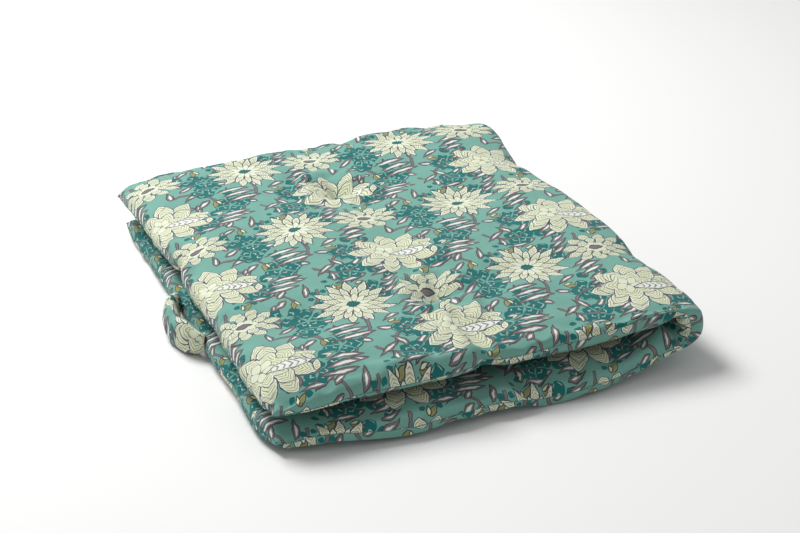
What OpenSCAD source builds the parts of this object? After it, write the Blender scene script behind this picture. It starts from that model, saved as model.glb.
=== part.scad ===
// Cotton futon mattress, folded once in half across its width.
// A cover of two printed panels holds three sheets of cotton batting, and twine tufts draw it in.
// The lower half lies on the floor, the fold stands at +X, and the open ends are at -X.
// The fold section turns on the lower half and the upper half turns on the fold section,
// a quarter turn each, about two lines where the outer panel bends.

/* [Mattress] */
// Width of the mattress, from the front edge to the back edge
mattress_w = 700; // [500:10:900]
// Length of the folded mattress, from its open ends to the fold
folded_l = 600; // [450:10:900]
// Thickness of one layer
layer_t = 46; // [40:1:60]
// Gap between the two layers where they lie on each other
layer_gap = 0.6; // [0.4:0.1:1]
// How far the upper layer's end sits back from the lower one's
end_step = 8; // [4:1:20]
// Radius of the plan corners at the open ends
corner_r = 32; // [26:1:60]

/* [Cover] */
// Thickness of the printed cotton cloth
cloth_t = 1.2; // [0.8:0.1:1.5]
// Depth of the turned-in seam allowance
allowance_w = 10; // [6:1:12]

/* [Tufts] */
// Distance from the middle of the mattress to each row of tufts
tuft_row_y = 178; // [120:1:200]
// Depth of the dish that a tuft draws into each face
dish_depth = 9; // [5:1:12]
// Radius of the ball that shapes the dish
dish_ball_r = 60; // [50:1:80]
// Diameter of the tufting twine
twine_d = 2.4; // [1.6:0.1:3]
// Diameter of the twine's knot
knot_d = 7; // [5:0.5:10]

/* [Carry handle] */
// Distance between the two ends of the handle
handle_l = 164; // [120:2:200]
// How far the handle stands out from the end seam
handle_reach = 30; // [24:1:40]
// Width of the handle strap
strap_w = 38; // [30:1:40]
// Thickness of the handle strap
strap_t = 3; // [2:0.2:4]

/* [Hidden] */
$fn = 64;

clear = 0.3;                              // space between neighbouring pieces
far = 2000;                               // longer than the whole mattress
fold_r = layer_t + layer_gap / 2;         // radius of the fold, and height of the plane between layers
end_x = -(folded_l + handle_reach) / 2 + handle_reach;
crease_x = end_x + folded_l - fold_r;     // the inner crease that the fold turns round
fill_inset = cloth_t + clear;             // from the outer face of the cloth to the batting
sheet_t = (layer_t - 2 * fill_inset - 2 * clear) / 3;
sheet_r = [for (i = [0:2]) layer_gap / 2 + fill_inset + i * (sheet_t + clear)];
middle_inset = fill_inset + allowance_w + clear;
seam_r = fold_r - layer_t / 2;            // distance of the edge seam from the crease plane
seam_t = 2 * cloth_t;                     // the two turned-in cloths
tuft_x = end_x + folded_l / 2;
cut_shift = 0.25;                         // keeps the mitre faces of the fold apart
strap_pivot = 5;                          // the strap swings this far outside the end seam
tab_t = 2;                                // thickness of the strap's sewn-in ends
tab_z = layer_t / 2 + seam_t / 2 + clear; // they lie on top of the seam allowance
print_cloth = [0.55, 0.70, 0.64];
lining_cloth = [0.47, 0.63, 0.58];
cotton = [0.93, 0.90, 0.82];
thread = [0.85, 0.82, 0.72];

// Cross-section of a layer's long edge: the first axis is the distance from the crease plane.
module edge_profile(inset) {
    side = mattress_w / 2 - layer_t / 2;
    translate([layer_gap / 2 + inset, -side]) square([layer_t - 2 * inset, 2 * side]);
    for (y = [-side, side]) translate([seam_r, y]) circle(r = layer_t / 2 - inset);
}

// Cross-section of a layer along its length, rounded at the open end.
module end_profile(inset, start_x) {
    nose = start_x + layer_t / 2;
    translate([nose, inset]) square([crease_x - nose, layer_t - 2 * inset]);
    translate([nose, layer_t / 2]) circle(r = layer_t / 2 - inset);
}

// Outline of a layer from above, with rounded corners at the open end.
module plan_outline(inset, start_x) {
    r = corner_r - inset;
    x = start_x + corner_r;
    y = mattress_w / 2 - corner_r;
    translate([x, -mattress_w / 2 + inset]) square([crease_x - x, mattress_w - 2 * inset]);
    translate([start_x + inset, -y]) square([corner_r, 2 * y]);
    for (side = [-y, y]) translate([x, side]) circle(r = r);
}

// The flat part of a lower layer, up to the crease line.
module slab(inset, start_x) {
    intersection() {
        rotate([90, 0, 0]) linear_extrude(height = far, center = true) end_profile(inset, start_x);
        translate([0, 0, fold_r]) rotate([0, 90, 0])
            linear_extrude(height = far, center = true) edge_profile(inset);
        linear_extrude(height = far, center = true) plan_outline(inset, start_x);
    }
}

// The rounded part that wraps the crease, before it is cut into its three sectors.
module wrap(inset) {
    intersection() {
        translate([crease_x, 0, fold_r]) rotate([90, 0, 0])
            rotate_extrude($fn = 96) edge_profile(inset);
        translate([crease_x, -far / 2, -far / 2]) cube([far, far, far]);
    }
}

// The balls that dish a layer's two faces round each tuft.
module layer_dishes(inset) {
    lift = dish_ball_r - dish_depth;
    for (y = [-tuft_row_y, tuft_row_y], z = [-lift, layer_t + lift])
        translate([tuft_x, y, z]) sphere(r = dish_ball_r + inset);
}

// The balls that dish the outside of the fold round each tuft.
module fold_dishes(inset) {
    for (y = [-tuft_row_y, tuft_row_y])
        translate([crease_x + fold_r + dish_ball_r - dish_depth, y, fold_r])
            sphere(r = dish_ball_r + inset);
}

// Through holes for the twine of a layer's tufts.
module layer_twine_holes() {
    for (y = [-tuft_row_y, tuft_row_y])
        translate([tuft_x, y, -1]) cylinder(d = twine_d + 2 * clear, h = layer_t + 2);
}

// Through holes for the twine of the fold's tufts.
module fold_twine_holes() {
    for (y = [-tuft_row_y, tuft_row_y])
        translate([crease_x - 1, y, fold_r]) rotate([0, 90, 0])
            cylinder(d = twine_d + 2 * clear, h = fold_r + 2);
}

// The space of a lower layer: below the crease plane, up to the mitre at 45 degrees.
module layer_zone() {
    rotate([90, 0, 0]) linear_extrude(height = far, center = true) polygon([
        [-far, -far], [-far, fold_r], [crease_x - cut_shift, fold_r],
        [crease_x - cut_shift + far, fold_r - far]
    ]);
}

// The space of the fold section: the quarter between the two mitres.
module fold_zone() {
    rotate([90, 0, 0]) linear_extrude(height = far, center = true) polygon([
        [crease_x + cut_shift, fold_r], [crease_x + cut_shift + far, fold_r - far],
        [crease_x + cut_shift + far, fold_r + far]
    ]);
}

// Everything between two distances from the crease plane, for a lower layer and the fold.
module depth_band(near, away) {
    translate([crease_x - far, -far / 2, fold_r - away]) cube([far, far, away - near]);
    intersection() {
        translate([crease_x, 0, fold_r]) rotate([90, 0, 0]) difference() {
            cylinder(r = away, h = far, center = true, $fn = 96);
            cylinder(r = near, h = far + 2, center = true, $fn = 96);
        }
        translate([crease_x, -far / 2, -far / 2]) cube([far, far, far]);
    }
}

// The filled shape of a lower layer, its own sector of the fold included.
module layer_form(inset, start_x) {
    intersection() {
        difference() {
            union() {
                slab(inset, start_x);
                wrap(inset);
            }
            layer_dishes(inset);
        }
        layer_zone();
    }
}

// The filled shape of the fold section.
module fold_form(inset) {
    intersection() {
        difference() {
            wrap(inset);
            fold_dishes(inset);
        }
        fold_zone();
    }
}

// A cloth panel of a lower layer, from one distance off the crease plane to another.
module layer_panel(start_x, near, away) {
    difference() {
        intersection() {
            layer_form(0, start_x);
            depth_band(near, away);
        }
        layer_form(cloth_t, start_x);
        layer_twine_holes();
    }
}

// A cloth panel of the fold section.
module fold_panel(near, away) {
    difference() {
        intersection() {
            fold_form(0);
            depth_band(near, away);
        }
        fold_form(cloth_t);
        fold_twine_holes();
    }
}

// One sheet of batting in a lower layer: 0 is next to the crease, 2 is outermost.
module layer_sheet(start_x, i) {
    difference() {
        intersection() {
            layer_form(i == 1 ? middle_inset : fill_inset, start_x);
            depth_band(sheet_r[i], sheet_r[i] + sheet_t);
        }
        layer_twine_holes();
    }
}

// One sheet of batting in the fold section.
module fold_sheet(i) {
    difference() {
        intersection() {
            fold_form(i == 1 ? middle_inset : fill_inset);
            depth_band(sheet_r[i], sheet_r[i] + sheet_t);
        }
        fold_twine_holes();
    }
}

// The turned-in seam allowance round a lower layer's three edges.
module layer_seam(start_x) {
    difference() {
        intersection() {
            layer_form(fill_inset, start_x);
            depth_band(seam_r - seam_t / 2, seam_r + seam_t / 2);
        }
        translate([start_x + fill_inset + allowance_w, -mattress_w / 2 + fill_inset + allowance_w, -1])
            cube([far, mattress_w - 2 * (fill_inset + allowance_w), layer_t + 2]);
    }
}

// The seam allowance round the two ends of the fold section.
module fold_seam() {
    difference() {
        intersection() {
            fold_form(fill_inset);
            depth_band(seam_r - seam_t / 2, seam_r + seam_t / 2);
        }
        translate([crease_x - 1, -mattress_w / 2 + fill_inset + allowance_w, -1])
            cube([far, mattress_w - 2 * (fill_inset + allowance_w), 2 * fold_r + 2]);
    }
}

// Twine through a layer at each tuft, with a knot in each dish.
module layer_twine() {
    knot_t = 1.6;
    low = dish_depth - clear - knot_t;
    for (y = [-tuft_row_y, tuft_row_y]) translate([tuft_x, y, 0]) {
        translate([0, 0, low]) cylinder(d = twine_d, h = layer_t - 2 * low);
        for (z = [low, layer_t - low - knot_t]) translate([0, 0, z]) cylinder(d = knot_d, h = knot_t);
    }
}

// Twine from the crease to the outside of the fold at each tuft.
module fold_twine() {
    knot_t = 1.6;
    reach = fold_r - dish_depth + clear + knot_t;
    for (y = [-tuft_row_y, tuft_row_y]) translate([crease_x, y, fold_r]) rotate([0, 90, 0]) {
        translate([0, 0, 2]) cylinder(d = twine_d, h = reach - 2);
        translate([0, 0, reach - knot_t]) cylinder(d = knot_d, h = knot_t);
    }
}

// Turns a lower layer's piece into the matching piece of the upper layer.
module as_upper() {
    translate([0, 0, 2 * fold_r]) mirror([0, 0, 1]) children();
}

module outer_panel_lower() { color(print_cloth) layer_panel(end_x, seam_r, fold_r + 1); }
module inner_panel_lower() {
    color(lining_cloth) difference() {
        layer_panel(end_x, 0.01, seam_r - 0.1);
        strap_ends(clear);
    }
}
module batting_outer_lower() { color(cotton) layer_sheet(end_x, 2); }
module batting_middle_lower() { color(cotton) layer_sheet(end_x, 1); }
module batting_inner_lower() { color(cotton) layer_sheet(end_x, 0); }
module edge_seam_lower() { color(thread) layer_seam(end_x); }
module tuft_twine_lower() { color(thread) layer_twine(); }

module outer_panel_fold() { color(print_cloth) fold_panel(seam_r, fold_r + 1); }
module inner_panel_fold() { color(lining_cloth) fold_panel(0.01, seam_r - 0.1); }
module batting_outer_fold() { color(cotton) fold_sheet(2); }
module batting_middle_fold() { color(cotton) fold_sheet(1); }
module batting_inner_fold() { color(cotton) fold_sheet(0); }
module edge_seam_fold() { color(thread) fold_seam(); }
module tuft_twine_fold() { color(thread) fold_twine(); }

module outer_panel_upper() { color(print_cloth) as_upper() layer_panel(end_x + end_step, seam_r, fold_r + 1); }
module inner_panel_upper() { color(lining_cloth) as_upper() layer_panel(end_x + end_step, 0.01, seam_r - 0.1); }
module batting_outer_upper() { color(cotton) as_upper() layer_sheet(end_x + end_step, 2); }
module batting_middle_upper() { color(cotton) as_upper() layer_sheet(end_x + end_step, 1); }
module batting_inner_upper() { color(cotton) as_upper() layer_sheet(end_x + end_step, 0); }
module edge_seam_upper() { color(thread) as_upper() layer_seam(end_x + end_step); }
module tuft_twine_upper() { color(thread) as_upper() layer_twine(); }

// The two flat ends of the strap, which go in through the end seam.
module strap_ends(room) {
    start_x = end_x - strap_pivot - 2;
    for (y = [-1, 1])
        translate([start_x - room, y * handle_l / 2 - strap_w / 2 - room, tab_z - room])
            cube([end_x + allowance_w - start_x + 2 * room, strap_w + 2 * room, tab_t + 2 * room]);
}

// Ends of the handle strap, sewn in behind the end seam on top of its allowance.
module handle_anchor_tabs() { color(print_cloth) strap_ends(0); }

// The strap bows out from the end seam, full width in the middle and narrow at its ends.
module carry_handle() {
    half_l = handle_l / 2;
    bow_r = (pow(half_l, 2) + pow(handle_reach, 2)) / (2 * handle_reach);
    mid_z = layer_t / 2;
    shoulder_y = half_l * 0.55;
    tab_h = 8;
    color(print_cloth) intersection() {
        translate([end_x - handle_reach + bow_r, 0, mid_z]) difference() {
            cylinder(r = bow_r, h = strap_w, center = true, $fn = 128);
            cylinder(r = bow_r - strap_t, h = strap_w + 2, center = true, $fn = 128);
        }
        translate([end_x - 2 * strap_pivot, 0, 0]) rotate([90, 0, -90]) linear_extrude(height = far) polygon([
            [-half_l, mid_z - tab_h / 2], [-shoulder_y, mid_z - strap_w / 2],
            [shoulder_y, mid_z - strap_w / 2], [half_l, mid_z - tab_h / 2],
            [half_l, mid_z + tab_h / 2], [shoulder_y, mid_z + strap_w / 2],
            [-shoulder_y, mid_z + strap_w / 2], [-half_l, mid_z + tab_h / 2]
        ]);
    }
}

outer_panel_lower();
inner_panel_lower();
batting_outer_lower();
batting_middle_lower();
batting_inner_lower();
edge_seam_lower();
tuft_twine_lower();
handle_anchor_tabs();
outer_panel_fold();
inner_panel_fold();
batting_outer_fold();
batting_middle_fold();
batting_inner_fold();
edge_seam_fold();
tuft_twine_fold();
outer_panel_upper();
inner_panel_upper();
batting_outer_upper();
batting_middle_upper();
batting_inner_upper();
edge_seam_upper();
tuft_twine_upper();
carry_handle();
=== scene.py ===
import math
import bmesh
import bpy
import numpy as np
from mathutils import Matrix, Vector, noise


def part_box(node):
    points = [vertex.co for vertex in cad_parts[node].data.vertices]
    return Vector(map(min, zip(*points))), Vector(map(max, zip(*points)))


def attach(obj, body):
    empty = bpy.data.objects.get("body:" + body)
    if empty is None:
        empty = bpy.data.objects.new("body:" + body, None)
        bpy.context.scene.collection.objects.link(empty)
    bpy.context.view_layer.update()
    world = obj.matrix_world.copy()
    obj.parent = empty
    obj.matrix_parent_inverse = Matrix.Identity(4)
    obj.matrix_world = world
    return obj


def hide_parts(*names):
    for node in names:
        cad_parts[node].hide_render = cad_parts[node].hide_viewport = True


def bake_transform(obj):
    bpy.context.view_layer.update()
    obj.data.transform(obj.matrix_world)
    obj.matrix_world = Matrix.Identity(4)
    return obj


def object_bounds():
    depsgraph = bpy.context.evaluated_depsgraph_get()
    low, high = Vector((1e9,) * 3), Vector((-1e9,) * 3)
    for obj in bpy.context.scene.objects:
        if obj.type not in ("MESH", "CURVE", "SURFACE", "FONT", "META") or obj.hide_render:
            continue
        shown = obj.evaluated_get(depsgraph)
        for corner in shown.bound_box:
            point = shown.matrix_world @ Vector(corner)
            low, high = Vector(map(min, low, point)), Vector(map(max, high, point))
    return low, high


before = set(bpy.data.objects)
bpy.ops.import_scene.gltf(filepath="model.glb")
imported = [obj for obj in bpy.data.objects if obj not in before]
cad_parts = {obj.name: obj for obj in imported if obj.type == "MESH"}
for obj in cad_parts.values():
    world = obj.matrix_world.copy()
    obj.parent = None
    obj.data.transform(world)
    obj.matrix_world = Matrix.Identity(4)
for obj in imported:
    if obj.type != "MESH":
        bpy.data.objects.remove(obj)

cad_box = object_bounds()

# ---- Studio ---------------------------------------------------------------------------------
# The folded mattress lies on a plain pale floor under a large soft lamp and a bright dome,
# seen from the front left and well above, with its open ends to the left.
low_corner, high_corner = (Vector(corner) for corner in cad_box)
middle = (low_corner + high_corner) / 2
CAMERA_YAW = math.radians(23.3)
CAMERA_DROP = math.radians(27.1)
CAMERA_OFFSET = Vector((-0.767, -1.866, 1.071))
CAMERA_LENS = 71.9
lens = bpy.data.cameras.new("camera")
lens.lens = CAMERA_LENS
lens.sensor_width = 36.0
camera = bpy.data.objects.new("camera", lens)
camera.location = Vector((middle.x, middle.y, 0.0)) + CAMERA_OFFSET
camera.rotation_euler = (math.pi / 2 - CAMERA_DROP, 0.0, -CAMERA_YAW)
bpy.context.scene.collection.objects.link(camera)
bpy.context.scene.camera = camera

FLOOR_SIZE = 14.0
bpy.ops.mesh.primitive_plane_add(size=FLOOR_SIZE, location=(middle.x, middle.y, low_corner.z - 0.001))
floor = bpy.context.object
floor.name = "floor"
floor_paper = bpy.data.materials.new("floor paper")
floor_paper.use_nodes = True
floor_shader = floor_paper.node_tree.nodes["Principled BSDF"]
floor_shader.inputs["Base Color"].default_value = (0.86, 0.86, 0.85, 1.0)
floor_shader.inputs["Roughness"].default_value = 0.9
floor.data.materials.append(floor_paper)

world = bpy.data.worlds.new("dome")
world.use_nodes = True
world.node_tree.nodes["Background"].inputs["Color"].default_value = (1.0, 1.0, 1.0, 1.0)
world.node_tree.nodes["Background"].inputs["Strength"].default_value = 0.37
bpy.context.scene.world = world


def soft_lamp(name, place, width, power):
    lamp_data = bpy.data.lights.new(name, "AREA")
    lamp_data.size = width
    lamp_data.energy = power
    lamp = bpy.data.objects.new(name, lamp_data)
    lamp.location = middle + Vector(place)
    lamp.rotation_euler = (-Vector(place)).to_track_quat("-Z", "Y").to_euler()
    bpy.context.scene.collection.objects.link(lamp)


soft_lamp("key lamp", (-0.9, 1.6, 2.6), 1.5, 112.0)
soft_lamp("fill lamp", (1.8, -1.6, 1.8), 2.2, 2.0)
bpy.context.scene.view_settings.view_transform = "Standard"

# ---- Printed cotton ---------------------------------------------------------------------------
# Plain-weave cotton, block-printed in a repeat of cream blooms, teal flowers and taupe leaves
# on sea green. Cloth coordinates are metres along and across the cut panel, held in a UV map.
MM = 0.001
REPEAT_ALONG = 259 * MM
REPEAT_ACROSS = 224 * MM


def add_node(tree, kind, **settings):
    made = tree.nodes.new(kind)
    for name, value in settings.items():
        setattr(made, name, value)
    return made


def feed(tree, source, target):
    if hasattr(source, "is_output"):
        tree.links.new(source, target)
    else:
        target.default_value = source


def maths(tree, operation, *values):
    made = add_node(tree, "ShaderNodeMath", operation=operation)
    for socket, value in zip(made.inputs, values):
        feed(tree, value, socket)
    return made.outputs[0]


def vector_maths(tree, operation, *values):
    made = add_node(tree, "ShaderNodeVectorMath", operation=operation)
    for socket, value in zip(made.inputs, values):
        feed(tree, value, socket)
    return made.outputs[0]


def ramp(tree, value, low, high):
    made = add_node(tree, "ShaderNodeMapRange", interpolation_type="SMOOTHSTEP")
    feed(tree, value, made.inputs["Value"])
    feed(tree, low, made.inputs["From Min"])
    feed(tree, high, made.inputs["From Max"])
    return made.outputs["Result"]


def blend_colour(tree, mask, under, over):
    made = add_node(tree, "ShaderNodeMix", data_type="RGBA")
    feed(tree, mask, made.inputs["Factor"])
    feed(tree, under, made.inputs["A"])
    feed(tree, over, made.inputs["B"])
    return made.outputs["Result"]


def new_group(name, inputs, outputs):
    tree = bpy.data.node_groups.new(name, "ShaderNodeTree")
    for socket_name, kind in inputs:
        tree.interface.new_socket(socket_name, in_out="INPUT", socket_type=kind)
    for socket_name, kind in outputs:
        tree.interface.new_socket(socket_name, in_out="OUTPUT", socket_type=kind)
    return tree, tree.nodes.new("NodeGroupInput"), tree.nodes.new("NodeGroupOutput")


VECTOR, FLOAT, COLOUR = "NodeSocketVector", "NodeSocketFloat", "NodeSocketColor"
INK_EDGE = 0.25 * MM
KEY_LINE = 1.5 * MM
RIM_LINE = 2.8 * MM


def place_on_repeat(tree, give):
    """How far along and aside of the nearest motif of its kind a place on the cloth lies."""
    offset = vector_maths(tree, "SUBTRACT", give["Cloth"], give["Place"])
    low = vector_maths(tree, "MULTIPLY", give["Half Repeat"], (-1.0, -1.0, -1.0))
    nearest = vector_maths(tree, "WRAP", offset, give["Half Repeat"], low)
    ahead = add_node(tree, "ShaderNodeVectorMath", operation="DOT_PRODUCT")
    feed(tree, nearest, ahead.inputs[0])
    feed(tree, give["Facing"], ahead.inputs[1])
    aside = add_node(tree, "ShaderNodeVectorMath", operation="DOT_PRODUCT")
    feed(tree, nearest, aside.inputs[0])
    feed(tree, give["Side"], aside.inputs[1])
    return ahead.outputs["Value"], aside.outputs["Value"]


def distance(tree, x, y):
    squares = maths(tree, "ADD", maths(tree, "MULTIPLY", x, x), maths(tree, "MULTIPLY", y, y))
    return maths(tree, "SQRT", squares)


def three_inks(tree, inside, stripes, result):
    """A shape in nested inks: the key line round it, a rim, the heart within, and stripes on it."""
    feed(tree, ramp(tree, inside, -INK_EDGE, INK_EDGE), result.inputs["Key"])
    feed(tree, ramp(tree, inside, KEY_LINE - INK_EDGE, KEY_LINE + INK_EDGE), result.inputs["Rim"])
    heart = ramp(tree, inside, RIM_LINE - INK_EDGE, RIM_LINE + INK_EDGE)
    feed(tree, heart, result.inputs["Heart"])
    feed(tree, maths(tree, "MULTIPLY", heart, stripes), result.inputs["Stripes"])


INKS = [("Key", FLOAT), ("Rim", FLOAT), ("Heart", FLOAT), ("Stripes", FLOAT)]
PLACED = [("Cloth", VECTOR), ("Place", VECTOR), ("Half Repeat", VECTOR), ("Facing", VECTOR), ("Side", VECTOR)]


def make_petal_ring():
    """A ring of petals about a centre."""
    tree, given, result = new_group(
        "petal ring",
        PLACED + [("Petals", FLOAT), ("Start", FLOAT), ("Tip", FLOAT), ("Half Width", FLOAT),
                  ("Fullness", FLOAT), ("Squash", FLOAT), ("Stripe Pitch", FLOAT), ("Stripe Edge", FLOAT)],
        INKS,
    )
    give = given.outputs
    x, y = place_on_repeat(tree, give)
    y = maths(tree, "MULTIPLY", y, give["Squash"])
    reach = distance(tree, x, y)
    half_sector = maths(tree, "DIVIDE", math.pi, give["Petals"])
    sector_start = maths(tree, "MULTIPLY", half_sector, -1.0)
    angle = maths(tree, "WRAP", maths(tree, "ARCTAN2", y, x), half_sector, sector_start)
    along = maths(tree, "MULTIPLY", reach, maths(tree, "COSINE", angle))
    across = maths(tree, "ABSOLUTE", maths(tree, "MULTIPLY", reach, maths(tree, "SINE", angle)))
    past_start = maths(tree, "SUBTRACT", along, give["Start"])
    length = maths(tree, "SUBTRACT", give["Tip"], give["Start"])
    share = maths(tree, "MAXIMUM", maths(tree, "DIVIDE", past_start, length), 0.0)
    share = maths(tree, "MINIMUM", share, 1.0)
    swell = maths(tree, "POWER", share, give["Fullness"])
    arch = maths(tree, "SINE", maths(tree, "MULTIPLY", math.pi, swell))
    inside = maths(tree, "SUBTRACT", maths(tree, "MULTIPLY", give["Half Width"], arch), across)
    inside = maths(tree, "MINIMUM", inside, past_start)
    inside = maths(tree, "MINIMUM", inside, maths(tree, "SUBTRACT", give["Tip"], along))
    slant = maths(tree, "ADD", along, maths(tree, "MULTIPLY", across, 0.9))
    turned = maths(tree, "DIVIDE", maths(tree, "MULTIPLY", slant, 2 * math.pi), give["Stripe Pitch"])
    wave = maths(tree, "COSINE", turned)
    stripe_end = maths(tree, "ADD", give["Stripe Edge"], 0.35)
    three_inks(tree, inside, ramp(tree, wave, give["Stripe Edge"], stripe_end), result)
    return tree


def make_leaf():
    """A long curved leaf or bud that grows from its place, or a few in a row, each set back a little."""
    tree, given, result = new_group(
        "leaf", PLACED + [("Length", FLOAT), ("Half Width", FLOAT), ("Bend", FLOAT), ("Rim Width", FLOAT),
                          ("Row Pitch", FLOAT), ("Side Rows", FLOAT), ("Set Back", FLOAT)],
        [("Key", FLOAT), ("Rim", FLOAT), ("Heart", FLOAT)],
    )
    give = given.outputs
    x, y = place_on_repeat(tree, give)
    row = maths(tree, "ROUND", maths(tree, "DIVIDE", y, give["Row Pitch"]))
    row = maths(tree, "MAXIMUM", row, maths(tree, "MULTIPLY", give["Side Rows"], -1.0))
    row = maths(tree, "MINIMUM", row, give["Side Rows"])
    y = maths(tree, "SUBTRACT", y, maths(tree, "MULTIPLY", row, give["Row Pitch"]))
    x = maths(tree, "SUBTRACT", x, maths(tree, "MULTIPLY", row, give["Set Back"]))
    share = maths(tree, "MAXIMUM", maths(tree, "DIVIDE", x, give["Length"]), 0.0)
    share = maths(tree, "MINIMUM", share, 1.0)
    bow = maths(tree, "MULTIPLY", give["Bend"], maths(tree, "MULTIPLY", x, x))
    across = maths(tree, "ABSOLUTE", maths(tree, "SUBTRACT", y, bow))
    arch = maths(tree, "SINE", maths(tree, "MULTIPLY", math.pi, maths(tree, "POWER", share, 0.75)))
    inside = maths(tree, "SUBTRACT", maths(tree, "MULTIPLY", give["Half Width"], arch), across)
    inside = maths(tree, "MINIMUM", inside, maths(tree, "SUBTRACT", give["Length"], x))
    inside = maths(tree, "MINIMUM", inside, x)
    feed(tree, ramp(tree, inside, -INK_EDGE, INK_EDGE), result.inputs["Key"])
    feed(tree, ramp(tree, inside, KEY_LINE - INK_EDGE, KEY_LINE + INK_EDGE), result.inputs["Rim"])
    heart = maths(tree, "SUBTRACT", inside, give["Rim Width"])
    feed(tree, ramp(tree, heart, -INK_EDGE, INK_EDGE), result.inputs["Heart"])
    return tree


def make_stem():
    """A stretch of a circle drawn as a thin line."""
    tree, given, result = new_group(
        "stem", PLACED + [("Radius", FLOAT), ("Sweep", FLOAT), ("Half Width", FLOAT)],
        [("Line", FLOAT), ("Light", FLOAT)],
    )
    give = given.outputs
    x, y = place_on_repeat(tree, give)
    reach = distance(tree, x, y)
    off = maths(tree, "SUBTRACT", reach, give["Radius"])
    swing = maths(tree, "ABSOLUTE", maths(tree, "ARCTAN2", y, x))
    left = maths(tree, "MULTIPLY", maths(tree, "SUBTRACT", give["Sweep"], swing), give["Radius"])
    beside = maths(tree, "SUBTRACT", give["Half Width"], maths(tree, "ABSOLUTE", off))
    inside = maths(tree, "MINIMUM", beside, left)
    feed(tree, ramp(tree, inside, -INK_EDGE, INK_EDGE), result.inputs["Line"])
    core = maths(tree, "SUBTRACT", inside, maths(tree, "MULTIPLY", give["Half Width"], 0.40))
    feed(tree, ramp(tree, core, -INK_EDGE, INK_EDGE), result.inputs["Light"])
    return tree


petal_ring = make_petal_ring()
leaf_shape = make_leaf()
stem = make_stem()

SEA_GREEN = (0.165, 0.375, 0.315, 1.0)
DEEP_TEAL = (0.004, 0.145, 0.138, 1.0)
CREAM = (0.700, 0.740, 0.550, 1.0)
CHALK = (0.740, 0.790, 0.730, 1.0)
TAUPE = (0.062, 0.055, 0.057, 1.0)
MAUVE_GREY = (0.195, 0.165, 0.175, 1.0)
OLIVE = (0.270, 0.275, 0.110, 1.0)
PALE_OLIVE = (0.450, 0.440, 0.180, 1.0)


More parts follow.
